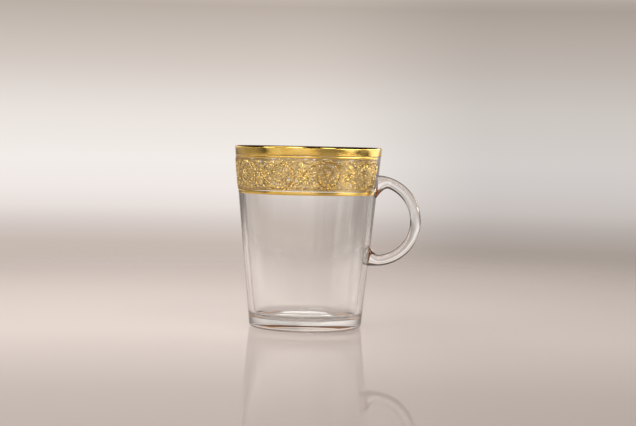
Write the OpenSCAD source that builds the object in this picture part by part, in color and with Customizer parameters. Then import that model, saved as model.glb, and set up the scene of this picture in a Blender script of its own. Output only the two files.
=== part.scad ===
// Gilded glass tea mug: tapered bowl, ring handle, gold rim and a raised gold scroll frieze.
// Millimetres, +Z up, origin in the middle of the foot on the table plane, handle towards +X.

/* [Bowl] */

// height of the glass from the table to the top of the lip
bowl_height = 92; // [85:1:105]
// outer diameter of the straight wall carried up to the lip
rim_diameter = 75; // [70:0.5:84]
// outer diameter of the straight wall carried down to the table
base_diameter = 57; // [52:0.5:62]
// thickness of the wall carried up to the top of the lip, measured level
wall_thickness = 2.2; // [1.8:0.1:3]
// thickness of the wall carried down to the table, measured level
base_wall_thickness = 3.3; // [2.4:0.1:4]
// thickness of glass under the drink, measured from the table
floor_thickness = 5.5; // [5:0.5:11]
// rounding of the outer edge at the table
heel_radius = 2.25; // [1:0.25:4]
// rounding inside between wall and floor
bowl_corner_radius = 3.25; // [2:0.25:8]
// width of the flat ring that stands on the table
foot_width = 4; // [2:0.25:5]
// depth of the hollow inside the foot ring
hollow_depth = 1.6; // [0.5:0.1:2]

/* [Handle] */

// distance from the top of the lip down to the middle of the handle ring
handle_drop = 36.9; // [35:0.1:41]
// radius of the middle line of the handle ring
ring_radius = 20.25; // [17.5:0.05:22]
// distance from the wall to the middle of the handle ring
ring_standoff = 1.1; // [0.6:0.1:4]
// thickness of the handle bar in the plane of the ring
bar_thickness = 5.6; // [4:0.1:7]
// width of the handle bar across the plane of the ring
bar_width = 7.6; // [6:0.1:10]
// fullness of the bar's section: 2 makes an oval, more comes closer to an oblong
bar_fullness = 3.4; // [2:0.2:5]
// height of the top root where it enters the wall
top_root_height = 14.5; // [11:0.25:15.5]
// height of the bottom root where it enters the wall
bottom_root_height = 13; // [10:0.25:14]
// width of each spread root on the wall
root_width = 10; // [8:0.25:12]
// angle above the level where the ring turns into its top root
top_start = 68; // [60:1:80]
// angle below the level where the ring turns into its bottom root
bottom_start = 84; // [64:1:86]
// how far the top root rises above the ring
root_rise = 0; // [0:0.1:1.5]
// how far the bottom root droops below the ring
root_droop = 0; // [0:0.1:1.5]
// how far the fillet over the bottom root stands off the wall
fillet_reach = 1.2; // [0.4:0.1:2.5]

/* [Gilding] */

// thickness of the fired gold
gold_thickness = 0.12; // [0.1:0.01:0.3]
// height of the gilding down the outside of the lip
rim_band_height = 4.5; // [3.5:0.1:5.5]
// height of the gilding down the inside of the lip
inner_band_height = 1.8; // [1.4:0.1:4]
// bare glass between the rim gilding and the collar line
collar_gap = 0.3; // [0.2:0.1:1]
// height of the collar line
collar_height = 1.1; // [0.5:0.1:1.6]
// bare glass above and below the frieze
frieze_margin = 0.3; // [0.2:0.1:1]
// height of the lower line
lower_line_height = 1.7; // [0.8:0.1:2.2]
// bare glass beside the handle root, on each side
root_clearance = 5; // [3:0.5:8]

/* [Frieze] */

// height of the scroll frieze
frieze_height = 15.7; // [13:0.1:16.4]
// number of scrolls around the wall
scroll_count = 9; // [8:1:10]
// height of the raised gold above the glass
relief = 0.4; // [0.25:0.05:0.6]
// width of the vine stem at the glass
stem_width = 1.15; // [0.8:0.05:1.3]
// bare glass between the outer turn of a scroll and the edge of the frieze
vine_margin = 0.35; // [0.2:0.05:1]
// turn of the vine from the star to the eye of the scroll, in degrees
scroll_turn = 540; // [480:10:600]
// radius at which the vine ends around the eye of a scroll
eye_radius = 2.7; // [2.3:0.1:3]
// bare line between a leaf and the stem that it grows from
leaf_gap = 0.16; // [0.1:0.02:0.3]
// longest leaf of a star
star_leaf = 5.8; // [4:0.1:6.5]
// leaves inside the top of a scroll
curl_leaf = 2.8; // [2:0.1:3]
// leaves inside the foot of a scroll
arch_leaf = 1.75; // [1.2:0.05:2]
// leaves above a scroll
crown_leaf = 3.8; // [2.5:0.1:4]
// leaf beside the foot of a scroll
foot_leaf = 3; // [2:0.1:3.5]
// width of a leaf for each unit of its length
leaf_share = 0.44; // [0.34:0.02:0.48]
// number of petals in the eye of a scroll
petal_count = 6; // [5:1:7]
// space left between the raised gold and the curve of the glass
bond_gap = 0.02; // [0.01:0.005:0.04]

/* [Hidden] */

$fn = 120;

glass_tint = [0.82, 0.88, 0.88, 0.45];
gold_tint = [0.83, 0.66, 0.29];
half = 0.5;

// slope of the wall outside and inside
wall_lean = atan((rim_diameter - base_diameter) * half / bowl_height);
wall_swell = (base_wall_thickness - wall_thickness) / bowl_height;
inner_lean = atan(tan(wall_lean) + wall_swell);
// rounding that touches both faces and reaches the full height
lip_radius = wall_thickness / (1 / cos(wall_lean) + 1 / cos(inner_lean) - wall_swell);
lip_centre_height = bowl_height - lip_radius;

// levels of the gilding, from the top down
rim_band_low = bowl_height - rim_band_height;
inner_band_low = bowl_height - inner_band_height;
collar_high = rim_band_low - collar_gap;
collar_low = collar_high - collar_height;
frieze_high = collar_low - frieze_margin;
frieze_low = frieze_high - frieze_height;
lower_high = frieze_low - frieze_margin;
lower_low = lower_high - lower_line_height;

// middle of the handle ring
handle_height = bowl_height - handle_drop;
ring_x = wall_radius(handle_height) + ring_standoff;
ring_outer = ring_radius + bar_thickness * half;
ring_inner = ring_radius - bar_thickness * half;
// how far the roots are carried into the wall before they are trimmed to it
root_bite = 1.4;
root_rings = 9;
bar_rings = 26;
bar_sides = 24;

// spread of the frieze around the wall
frieze_radius = wall_radius(frieze_low + frieze_height * half);
frieze_open = asin((root_width * half + root_clearance) / frieze_radius);
scroll_step = (360 - frieze_open * 2) / scroll_count;
scroll_pitch = frieze_radius * scroll_step * PI / 180;
middle_place = [0, frieze_height * half];

// vine: outer turn, eye and how quickly it swings out to the star, in degrees
scroll_outer = (frieze_height - stem_width) * half - vine_margin;
swing = 32;
stem_step = 20;
// share of the width that is left on top of the raised gold, and at the tip of the vine
crest_share = 0.4;
tip_share = 0.6;
// section of the vine: places across it as shares of half its width, and their lift off the glass
ribbon_edges = [[-1, bond_gap], [-crest_share, relief], [crest_share, relief], [1, bond_gap]];
// where the vine leaves for the next star: turn shared with it, steps and width left at its end
runner_turn = 54;
runner_steps = 4;
runner_tip = 0.4;

// leaf outline: widest place, shoulder and where its ridge runs, as shares of its length
leaf_belly = 0.42;
leaf_shoulder = 0.75;
shoulder_share = 0.68;
ridge_shares = [0.2, 0.42, 0.75];

// eye of the scroll: boss and petals around it
boss_radius = 0.8;
boss_sides = 10;
petal_length = eye_radius - vine_width(scroll_turn) * half - boss_radius - leaf_gap * 2;
petal_share = 0.9;

// star: leaf angles from the line of the vine, where they start and the room to the scroll beside it
star_spread = [45, 90, 135];
star_root = stem_width * half + leaf_gap * 2;
star_room = scroll_pitch * half - vine_radius(180) - vine_width(180) * half - star_root - leaf_gap;

// leaves along the vine: turns where they grow, and their rake
curl_turns = [172 : 27 : 340];
curl_rake = 38;
arch_turns = [66 : 19 : 150];
arch_rake = 52;
crown_turns = [232 : 27 : 320];
crown_rake = 20;
foot_turns = [44];
foot_rake = -34;

arc_steps = 8;

// outer radius of the straight wall at a level
function wall_radius(level) = (base_diameter + (rim_diameter - base_diameter) * level / bowl_height) * half;

// radius of the inner face at a level
function inside_radius(level) = wall_radius(level) - base_wall_thickness + wall_swell * level;

// point of the wall section, lifted square off the outer face
function off_wall(level, lift) = [wall_radius(level) + lift * cos(wall_lean), level - lift * sin(wall_lean)];

// point of the wall section, lifted square off the inner face
function off_inside(level, lift) =
    [inside_radius(level) - lift * cos(inner_lean), level + lift * sin(inner_lean)];

function polar(radius, angle) = radius * [cos(angle), sin(angle)];

// points of an arc
function arc(centre, radius, from, to, steps) =
    [for (i = [0 : steps]) centre + polar(radius, from + (to - from) * i / steps)];

// curve from a to c that leaves and arrives along the lines to b
function bend(a, b, c, t) = a * pow(1 - t, 2) + b * 2 * t * (1 - t) + c * t * t;

function ease(t) = t * t * (3 - 2 * t);

// faces of a solid lofted through rows that have the same number of places
function loft_faces(rows, sides) =
    let (last = (rows - 1) * sides)
    concat(
        [for (row = [0 : sides : last - sides])
            for (k = [0 : sides - 1])
                let (next = (k + 1) % sides)
                for (side = [[row + k, row + next, row + sides + k],
                             [row + next, row + sides + next, row + sides + k]]) side],
        [[for (k = [0 : sides - 1]) sides - 1 - k]],
        [[for (k = [0 : sides - 1]) last + k]]
    );

// a place on the frieze: along the wall, up from its foot, out from the glass
function on_frieze(turn, place, lift) =
    let (spot = off_wall(frieze_low + place[1], lift))
    let (angle = turn + place[0] / frieze_radius * 180 / PI)
    [spot[0] * cos(angle), spot[0] * sin(angle), spot[1]];

// distance of the vine from the middle of its scroll after some turn
function vine_radius(turned) =
    scroll_outer + (eye_radius - scroll_outer) * pow(turned / scroll_turn, 2)
    + (scroll_pitch * half - scroll_outer) * exp(-turned / swing);

// the direction in which the scroll of a unit turns
function flip_of(unit) = unit % 2 == 0 ? 1 : -1;

// place on the vine, which turns the other way in every second unit
function vine(flip, turned) = middle_place + vine_radius(turned) * [-cos(turned), -flip * sin(turned)];

// place on the same vine where it leaves for the next star
function runner(flip, turned) = middle_place + vine_radius(turned) * [cos(turned), -flip * sin(turned)];

function vine_width(turned) = stem_width * (1 - (1 - tip_share) * turned / scroll_turn);

function runner_width(turned) = stem_width * (1 - (1 - runner_tip) * pow(turned / runner_turn, 2));

// direction of the vine where it passes through a star
function star_line(flip) =
    atan2(-flip * scroll_pitch * half, (scroll_pitch * half - scroll_outer) * 180 / (PI * swing));

// length of a leaf that stays inside the frieze
function leaf_room(root, angle, longest) =
    let (climb = sin(angle), room = climb > 0 ? frieze_height - root[1] : root[1])
    min(longest, room / max(abs(climb), leaf_gap));

lip_centre = [wall_radius(lip_centre_height) - lip_radius / cos(wall_lean), lip_centre_height];

// lip outline, from the outer face over the top to the inner face
function lip(lift) = arc(lip_centre, lip_radius + lift, -wall_lean, 180 - inner_lean, arc_steps * 2);

// bowl with its heavy floor, the foot ring and the hollow inside it
module glass_body() {
    heel_centre = [wall_radius(heel_radius) - heel_radius / cos(wall_lean), heel_radius];
    corner_height = floor_thickness + bowl_corner_radius;
    corner_centre = [inside_radius(corner_height) - bowl_corner_radius / cos(inner_lean), corner_height];
    foot_inner = heel_centre[0] - foot_width;
    dome_radius = (pow(foot_inner, 2) + pow(hollow_depth, 2)) / (hollow_depth * 2);
    dome_angle = asin(foot_inner / dome_radius);
    dome = arc([0, hollow_depth - dome_radius], dome_radius, 90, 90 - dome_angle, arc_steps);
    color(glass_tint)
        rotate_extrude()
            polygon(concat(
                dome,
                arc(heel_centre, heel_radius, -90, -wall_lean, arc_steps),
                lip(0),
                arc(corner_centre, bowl_corner_radius, -inner_lean, -90, arc_steps),
                [[0, floor_thickness]]
            ));
}

// in-plane edge of the handle bar at one station, as outer and inner point from the ring middle
function top_root(t) =
    let (high = ring_outer + root_rise, low = high - top_root_height)
    let (outer_end = polar(ring_outer, top_start), inner_end = polar(ring_inner, top_start))
    let (wall_high = [wall_radius(handle_height + high) - root_bite - ring_x, high])
    let (wall_low = [wall_radius(handle_height + low) - root_bite - ring_x, low])
    let (crown = [outer_end[0] - (high - outer_end[1]) * tan(top_start), high])
    let (crook = inner_end + polar(ring_inner * tan((90 - top_start) * half), top_start + 90))
    [bend(wall_high, crown, outer_end, t), bend(wall_low, crook, inner_end, t)];

function bottom_root(t) =
    let (low = -ring_outer - root_droop, high = low + bottom_root_height)
    let (outer_end = polar(ring_outer, -bottom_start), inner_end = polar(ring_inner, -bottom_start))
    let (wall_low = [wall_radius(handle_height + low) - root_bite - ring_x, low])
    let (wall_high = [wall_radius(handle_height + high) - root_bite - ring_x, high])
    let (crown = [(outer_end[0] + wall_low[0]) * half, -ring_outer])
    let (crook = [wall_high[0] + root_bite + fillet_reach, -ring_inner])
    [bend(outer_end, crown, wall_low, t), bend(inner_end, crook, wall_high, t)];

function bar_station(t) =
    let (angle = top_start - (top_start + bottom_start) * t)
    [polar(ring_outer, angle), polar(ring_inner, angle)];

function fuller(share) = sign(share) * pow(abs(share), 2 / bar_fullness);

// rounded section between an outer and an inner point
function bar_section(edge, width) =
    let (middle = (edge[0] + edge[1]) * half, reach = (edge[0] - edge[1]) * half)
    [for (k = [0 : bar_sides - 1])
        let (a = 360 * k / bar_sides)
        [
            ring_x + middle[0] + reach[0] * fuller(cos(a)),
            width * half * fuller(sin(a)),
            handle_height + middle[1] + reach[1] * fuller(cos(a))
        ]];

// rounded bar bent to a ring, with roots that spread on the wall
module handle() {
    rings = concat(
        [for (i = [0 : root_rings - 1])
            let (t = i / root_rings)
            bar_section(top_root(t), root_width + (bar_width - root_width) * ease(t))],
        [for (i = [0 : bar_rings]) bar_section(bar_station(i / bar_rings), bar_width)],
        [for (i = [1 : root_rings])
            let (t = i / root_rings)
            bar_section(bottom_root(t), bar_width + (root_width - bar_width) * ease(t))]
    );
    color(glass_tint)
        difference() {
            polyhedron([for (ring = rings) for (spot = ring) spot], loft_faces(len(rings), bar_sides));
            cylinder(h = bowl_height, d1 = base_diameter, d2 = rim_diameter);
        }
}

// gold over the lip, down the outside and a little way down the inside
module rim_gilding() {
    inner_lip = lip(0);
    inner_side = concat([off_wall(rim_band_low, 0)], inner_lip, [off_inside(inner_band_low, 0)]);
    outer_side = concat(
        [off_inside(inner_band_low, gold_thickness)],
        [for (i = [len(inner_lip) - 1 : -1 : 0]) lip(gold_thickness)[i]],
        [off_wall(rim_band_low, gold_thickness)]
    );
    color(gold_tint)
        rotate_extrude()
            polygon(concat(inner_side, outer_side));
}

// gold line on the wall between two levels, open behind the handle
module gold_line(low, high) {
    color(gold_tint)
        rotate(frieze_open)
            rotate_extrude(angle = 360 - frieze_open * 2)
                polygon([
                    off_wall(low, 0),
                    off_wall(low, gold_thickness),
                    off_wall(high, gold_thickness),
                    off_wall(high, 0)
                ]);
}

module collar_line() {
    gold_line(collar_low, collar_high);
}

module lower_line() {
    gold_line(lower_low, lower_high);
}

// solid around a cloud of points
module shell(points) {
    hull()
        polyhedron(points, [for (i = [0 : len(points) - 3]) [i, i + 1, i + 2]]);
}

// raised ribbon along a row of places, narrower at its crest
module ribbon(turn, places, widths) {
    last = len(places) - 1;
    spots = [for (i = [0 : last])
        let (ahead = places[min(i + 1, last)] - places[max(i - 1, 0)])
        let (across = [-ahead[1], ahead[0]] / norm(ahead) * widths[i] * half)
        for (edge = ribbon_edges) on_frieze(turn, places[i] + across * edge[0], edge[1])];
    polyhedron(spots, loft_faces(len(places), len(ribbon_edges)));
}

// raised leaf from a root along a direction, with a ridge down its middle
module leaf(turn, root, angle, length, share) {
    along = polar(length, angle);
    across = polar(length * share * half, angle + 90);
    rim = [
        root,
        root + along * leaf_belly - across,
        root + along * leaf_shoulder - across * shoulder_share,
        root + along,
        root + along * leaf_shoulder + across * shoulder_share,
        root + along * leaf_belly + across
    ];
    ridge = [for (spot = ridge_shares) on_frieze(turn, root + along * spot, relief)];
    shell(concat([for (place = rim) on_frieze(turn, place, bond_gap)], ridge));
}

// eye of a scroll: round boss and petals
module eye(turn) {
    rim = [for (k = [0 : boss_sides - 1]) polar(boss_radius, 360 * k / boss_sides)];
    shell(concat(
        [for (spot = rim) on_frieze(turn, middle_place + spot, bond_gap)],
        [for (spot = rim) on_frieze(turn, middle_place + spot * crest_share, relief)]
    ));
    for (k = [0 : petal_count - 1]) {
        angle = 360 * (k + half) / petal_count;
        leaf(turn, middle_place + polar(boss_radius + leaf_gap, angle), angle, petal_length, petal_share);
    }
}

// leaves on one side of the vine: side 1 grows out of the scroll, side -1 into it
module spray(turn, flip, turns, side, rake, longest) {
    for (turned = turns) {
        spoke = vine(flip, turned) - middle_place;
        outward = spoke / norm(spoke);
        root = vine(flip, turned) + outward * side * (vine_width(turned) * half + leaf_gap);
        angle = atan2(outward[1] * side, outward[0] * side) + flip * side * rake;
        leaf(turn, root, angle, leaf_room(root, angle, longest), leaf_share);
    }
}

// vine that leaves the scroll before, passes through the star and curls into the eye of this one
module scroll(turn, flip, first, last) {
    vine_steps = round(scroll_turn / stem_step);
    vine_turns = [for (i = [0 : vine_steps]) scroll_turn * i / vine_steps];
    runner_turns = [for (i = [runner_steps : -1 : 0]) runner_turn * i / runner_steps];
    lead_turns = first ? [] : [for (i = [0 : runner_steps - 1]) runner_turns[i]];
    ribbon(
        turn,
        concat(
            [for (turned = lead_turns) runner(-flip, turned) - [scroll_pitch, 0]],
            [for (turned = vine_turns) vine(flip, turned)]
        ),
        concat(
            [for (turned = lead_turns) runner_width(turned)],
            [for (turned = vine_turns) vine_width(turned)]
        )
    );
    if (last)
        ribbon(
            turn,
            [for (turned = runner_turns) runner(flip, turned)],
            [for (turned = runner_turns) runner_width(turned)]
        );
    eye(turn);
    spray(turn, flip, curl_turns, -1, curl_rake, curl_leaf);
    spray(turn, flip, arch_turns, -1, arch_rake, arch_leaf);
    spray(turn, flip, crown_turns, 1, crown_rake, crown_leaf);
    spray(turn, flip, foot_turns, 1, foot_rake, foot_leaf);
}

// leaves beside the vine between two scrolls; at the ends of the frieze only those that point into it
module star(turn, flip, end) {
    for (side = [-1, 1])
        for (spread = star_spread) {
            angle = star_line(flip) + side * spread;
            root = middle_place + polar(star_root, angle);
            longest = min(star_leaf, star_room / max(abs(cos(angle)), leaf_gap));
            if (end * cos(angle) <= 0)
                leaf(turn, root, angle, leaf_room(root, angle, longest), leaf_share);
        }
}

// all the raised gold between the collar line and the lower line
module frieze_scrollwork() {
    color(gold_tint)
        union() {
            for (unit = [0 : scroll_count - 1])
                scroll(
                    frieze_open + scroll_step * (unit + half),
                    flip_of(unit),
                    unit == 0,
                    unit == scroll_count - 1
                );
            for (unit = [0 : scroll_count])
                star(
                    frieze_open + scroll_step * unit,
                    flip_of(unit),
                    unit == 0 ? -1 : unit == scroll_count ? 1 : 0
                );
        }
}

glass_body();
handle();
rim_gilding();
collar_line();
frieze_scrollwork();
lower_line();
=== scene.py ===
from math import asin, atan, atan2, ceil, cos, degrees, exp, pi, radians, sin, sqrt, tan

import bpy
import numpy as np
from mathutils import Matrix, Vector


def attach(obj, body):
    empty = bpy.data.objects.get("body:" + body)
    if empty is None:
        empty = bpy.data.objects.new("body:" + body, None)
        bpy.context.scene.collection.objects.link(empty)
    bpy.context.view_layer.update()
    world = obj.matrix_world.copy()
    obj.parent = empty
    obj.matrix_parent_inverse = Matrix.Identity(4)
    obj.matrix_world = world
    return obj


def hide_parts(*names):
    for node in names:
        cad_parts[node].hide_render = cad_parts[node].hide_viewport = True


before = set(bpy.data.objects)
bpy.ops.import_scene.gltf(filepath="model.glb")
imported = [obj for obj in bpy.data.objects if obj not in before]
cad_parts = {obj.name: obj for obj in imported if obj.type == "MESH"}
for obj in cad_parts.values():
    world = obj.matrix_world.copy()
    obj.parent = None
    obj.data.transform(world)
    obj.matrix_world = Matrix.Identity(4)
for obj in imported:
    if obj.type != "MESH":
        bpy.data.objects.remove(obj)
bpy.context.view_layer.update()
mm = 0.001
print("frame loaded")


class Wire:
    # a node socket that can stand in a sum
    def __init__(self, tree, socket=None):
        self.tree = tree
        self.socket = socket

    def add(self, kind, sockets=(), out=0, stops=(), **settings):
        made = self.tree.nodes.new("ShaderNode" + kind)
        for key, value in settings.items():
            setattr(made, key, value)
        while stops and len(made.color_ramp.elements) < len(stops):
            made.color_ramp.elements.new(0.5)
        for n, (place, tint) in enumerate(stops):
            made.color_ramp.elements[n].position = place
            made.color_ramp.elements[n].color = (*tint, 1)
        for key, value in dict(sockets).items():
            plug = made.inputs[key]
            if isinstance(value, Wire):
                self.tree.links.new(value.socket, plug)
            else:
                plug.default_value = (*value, 1) if plug.type == "RGBA" else value
        return Wire(self.tree, made.outputs[out]) if len(made.outputs) else None

    def sum(self, operation, *parts):
        return self.add("Math", enumerate(parts), operation=operation)

    __add__ = lambda a, b: a.sum("ADD", a, b)
    __radd__ = lambda a, b: a.sum("ADD", b, a)
    __sub__ = lambda a, b: a.sum("SUBTRACT", a, b)
    __rsub__ = lambda a, b: a.sum("SUBTRACT", b, a)
    __mul__ = lambda a, b: a.sum("MULTIPLY", a, b)
    __rmul__ = lambda a, b: a.sum("MULTIPLY", b, a)
    __truediv__ = lambda a, b: a.sum("DIVIDE", a, b)
    __pow__ = lambda a, b: a.sum("POWER", a, b)

    def rise(self, low, high):
        # 0 below low, 1 above high, soft in between
        return self.add("MapRange", {"Value": self, "From Min": low, "From Max": high},
                        interpolation_type="SMOOTHSTEP")

    def band(self, low, full, fall, high):
        return self.rise(low, full) * (1 - self.rise(fall, high))

    def blend(self, first, second):
        # colour that goes from first to second as this value goes from 0 to 1
        return self.add("Mix", {"Factor": self, 6: first, 7: second}, 2, data_type="RGBA")

    def scaled(self, size):
        return self.add("VectorMath", {0: self, 1: size}, operation="MULTIPLY")

    def noise(self, scale, detail=2.0, rough=0.5):
        return self.add("TexNoise",
                        {"Vector": self, "Scale": scale, "Detail": detail, "Roughness": rough})

    def bump(self, strength, distance):
        return self.add("Bump", {"Strength": strength, "Distance": distance, "Height": self})

    def axes(self):
        split = self.add("SeparateXYZ", {0: self}).socket.node
        return [Wire(self.tree, plug) for plug in split.outputs]

    def fromAxis(self):
        # distance from the bowl's axis
        x, y, z = self.axes()
        return (x * x + y * y) ** 0.5


def shade(*screen):
    # screen colour, 0 to 255, as light
    return tuple(((v / 255 + 0.055) / 1.055) ** 2.4 if v > 10 else v / 255 / 12.92 for v in screen)


def newFinish(name):
    finish = bpy.data.materials.new(name)
    finish.use_nodes = True
    finish.node_tree.nodes.clear()
    return finish, Wire(finish.node_tree)


def newPiece(name, points, faces, slots=None, sharp=40):
    mesh = bpy.data.meshes.new(name)
    mesh.from_pydata((np.asarray(points, float) * mm).tolist(), [], faces)
    if slots is not None:
        mesh.polygons.foreach_set("material_index", slots)
    mesh.shade_smooth()
    mesh.set_sharp_from_angle(angle=radians(sharp))
    mesh.update()
    piece = bpy.data.objects.new(name, mesh)
    bpy.context.scene.collection.objects.link(piece)
    return piece


def skin(count, wide, closed=False, start=0):
    # faces between rows of points, where each row is a loop
    faces = []
    for k in range(count if closed else count - 1):
        a, b = start + k * wide, start + (k + 1) % count * wide
        faces += [(a + i, b + i, b + (i + 1) % wide, a + (i + 1) % wide) for i in range(wide)]
    return faces


def caps(count, wide, start=0):
    # end faces of such a skin
    last = start + (count - 1) * wide
    return [tuple(range(start, start + wide)), tuple(range(last + wide - 1, last - 1, -1))]


def arcPoints(centre, radius, start, stop, steps):
    turns = np.radians(np.linspace(start, stop, steps + 1))
    return [(centre[0] + radius * cos(a), centre[1] + radius * sin(a)) for a in turns]


def spun(profile, turns):
    # rows of points for a profile of (radius, height), one row for each turn in degrees
    profile = np.asarray(profile, float)
    a = np.radians(np.asarray(turns, float))[:, None]
    return np.stack([profile[:, 0] * np.cos(a), profile[:, 0] * np.sin(a),
                     np.broadcast_to(profile[:, 1], (len(a), len(profile)))], -1)


# bowl
bowl = dict(
    height=92, rimWide=75, baseWide=57, wall=2.2, floor=5.5, heel=2.25, corner=3.25, foot=4, hollow=1.6,
    baseWall=3.3, columns=240, arcSteps=(16, 14, 20, 16), wallStep=1.5, innerStep=2, sharp=35,
    # uneven inside: depth, where it fades at lip and floor, waves around the bowl as (count, start, share)
    ripple=0.022, rippleTop=12, rippleFoot=14,
    waves=[(3, 0.4, 0.9), (7, 2.1, 0.7), (13, 4.4, 0.55), (19, 1.2, 0.5), (29, 3.3, 0.4), (41, 0.7, 0.3)],
    # wall around a handle root: half its columns, rings from its edge to the root and inside the root
    windowColumns=9, windowShares=(0.35, 0.7, 1), weldShares=(0.8, 0.5, 0.2),
)
slope = (bowl["rimWide"] - bowl["baseWide"]) / 2 / bowl["height"]
lean = atan(slope)
wallSwell = (bowl["baseWall"] - bowl["wall"]) / bowl["height"]
innerLean = atan(tan(lean) + wallSwell)


def wallRadius(level):
    return (bowl["baseWide"] + (bowl["rimWide"] - bowl["baseWide"]) * level / bowl["height"]) / 2


def insideRadius(level):
    # the wall thickens towards the floor
    return wallRadius(level) - bowl["baseWall"] + wallSwell * level


def offWall(level, lift):
    return wallRadius(level) + lift * cos(lean), level - lift * sin(lean)


def offInside(level, lift):
    return insideRadius(level) - lift * cos(innerLean), level + lift * sin(innerLean)


lipRadius = bowl["wall"] / (1 / cos(lean) + 1 / cos(innerLean) - wallSwell)
lipLevel = bowl["height"] - lipRadius
lipCentre = (wallRadius(lipLevel) - lipRadius / cos(lean), lipLevel)


def lipArc(lift, steps):
    return arcPoints(lipCentre, lipRadius + lift, -degrees(lean), 180 - degrees(innerLean), steps)


def levelRun(marks, step):
    # levels from mark to mark, split evenly
    run = []
    for low, high in zip(marks, marks[1:]):
        count = max(1, round(abs(high - low) / step))
        run += [low + (high - low) * i / count for i in range(count)]
    return run + [marks[-1]]


def buildBowl():
    domeSteps, heelSteps, lipSteps, cornerSteps = bowl["arcSteps"]
    heelCentre = (wallRadius(bowl["heel"]) - bowl["heel"] / cos(lean), bowl["heel"])
    cornerLevel = bowl["floor"] + bowl["corner"]
    cornerCentre = (insideRadius(cornerLevel) - bowl["corner"] / cos(innerLean), cornerLevel)
    footInner = heelCentre[0] - bowl["foot"]
    domeRadius = (footInner ** 2 + bowl["hollow"] ** 2) / (2 * bowl["hollow"])
    domeTurn = degrees(asin(footInner / domeRadius))
    dome = arcPoints((0, bowl["hollow"] - domeRadius), domeRadius, 90, 90 - domeTurn, domeSteps)
    heelArc = arcPoints(heelCentre, bowl["heel"], -90, -degrees(lean), heelSteps)
    lip = lipArc(0, lipSteps)
    half = handle["windowHigh"] / 2
    marks = [heelArc[-1][1], rootLevels[1] - half, rootLevels[1] + half,
             rootLevels[0] - half, rootLevels[0] + half, lip[0][1]]
    wallLevels = levelRun(marks, bowl["wallStep"])
    cornerArc = arcPoints(cornerCentre, bowl["corner"], -degrees(innerLean), -90, cornerSteps)
    innerLevels = levelRun([lip[-1][1], cornerArc[0][1]], bowl["innerStep"])
    floorRun = [(cornerArc[-1][0] * (1 - f), bowl["floor"]) for f in np.linspace(0, 1, 9)[1:-1]]
    profile = dome[1:] + heelArc + [(wallRadius(z), z) for z in wallLevels[1:-1]] + lip
    innerStart = len(profile)
    profile += [(insideRadius(z), z) for z in innerLevels[1:-1]] + cornerArc + floorRun
    columns, rows = bowl["columns"], len(profile)
    turns = np.arange(columns) * 360 / columns
    points = spun(profile, turns)
    # the inside is a little uneven around the bowl
    a = np.radians(turns)
    swim = sum(np.cos(n * a + p) * s for n, p, s in bowl["waves"])
    heights = points[0, innerStart:, 2]
    fade = (np.clip((lip[-1][1] - heights) / bowl["rippleTop"], 0, 1)
            * np.clip((heights - bowl["floor"]) / bowl["rippleFoot"], 0, 1))
    grow = 1 + bowl["ripple"] * swim[:, None] * fade[None, :] / points[0, innerStart:, 0]
    points[:, innerStart:, :2] *= grow[:, :, None]
    flat = points.reshape(-1, 3).tolist()
    faces, slots = [], []
    side = bowl["windowColumns"]
    firstWall = len(dome) - 1 + len(heelArc) - 1

    def rowAt(level):
        return firstWall + min(range(len(wallLevels)), key=lambda i: abs(wallLevels[i] - level))

    def spot(column, row):
        return column % columns * rows + row

    windows = [(rowAt(level - half), rowAt(level + half), level) for level in rootLevels]
    for k in range(columns):
        column = k if k < columns / 2 else k - columns
        for i in range(rows - 1):
            if any(low <= i < high and -side <= column < side for low, high, level in windows):
                continue
            faces.append((spot(k, i), spot(k + 1, i), spot(k + 1, i + 1), spot(k, i + 1)))
            slots.append(0)
    for row, level in ((0, bowl["hollow"]), (rows - 1, bowl["floor"])):
        flat.append((0, 0, level))
        for k in range(columns):
            ends = (spot(k + 1, row), spot(k, row), len(flat) - 1)
            faces.append(ends if row == 0 else ends[::-1])
            slots.append(0)
    # wall around each handle root, with the oval where the glass of the two pieces is one
    top, bar, bottom = handleRings()
    roots = dict(zip(rootLevels, (top[0], bottom[-1])))
    for low, high, level in windows:
        loop = [spot(k, low) for k in range(-side, side)] + [spot(side, i) for i in range(low, high)]
        loop += [spot(k, high) for k in range(side, -side, -1)] + [spot(-side, i) for i in range(high, low, -1)]
        edge = np.array([(flat[j][1], flat[j][2] - level) for j in loop])
        root = roots[level][:, 1:] - np.array([0, level])
        root = root[np.argsort(np.arctan2(root[:, 1], root[:, 0]))]
        aim = np.arctan2(edge[:, 1], edge[:, 0])
        reach = np.interp(aim, np.arctan2(root[:, 1], root[:, 0]), np.hypot(root[:, 0], root[:, 1]),
                          period=2 * pi)
        oval = np.stack([np.cos(aim) * reach, np.sin(aim) * reach], -1)
        rings = [edge + (oval - edge) * f for f in bowl["windowShares"]] + [oval * f for f in bowl["weldShares"]]
        last = loop
        for j, ring in enumerate(rings):
            start = len(flat)
            for y, z in ring:
                r = wallRadius(level + z)
                flat.append((sqrt(r * r - y * y), y, level + z))
            fresh = list(range(start, len(flat)))
            for m in range(len(loop)):
                n = (m + 1) % len(loop)
                faces.append((last[m], last[n], fresh[n], fresh[m]))
                slots.append(0 if j < len(bowl["windowShares"]) else 1)
            last = fresh
        flat.append((wallRadius(level), 0, level))
        for m in range(len(loop)):
            faces.append((last[m], last[(m + 1) % len(loop)], len(flat) - 1))
            slots.append(1)
    # leave out the points that the two openings left without a face
    used = sorted({j for face in faces for j in face})
    place = {j: n for n, j in enumerate(used)}
    return newPiece("glass_bowl", [flat[j] for j in used],
                    [tuple(place[j] for j in face) for face in faces], slots, bowl["sharp"])


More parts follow.
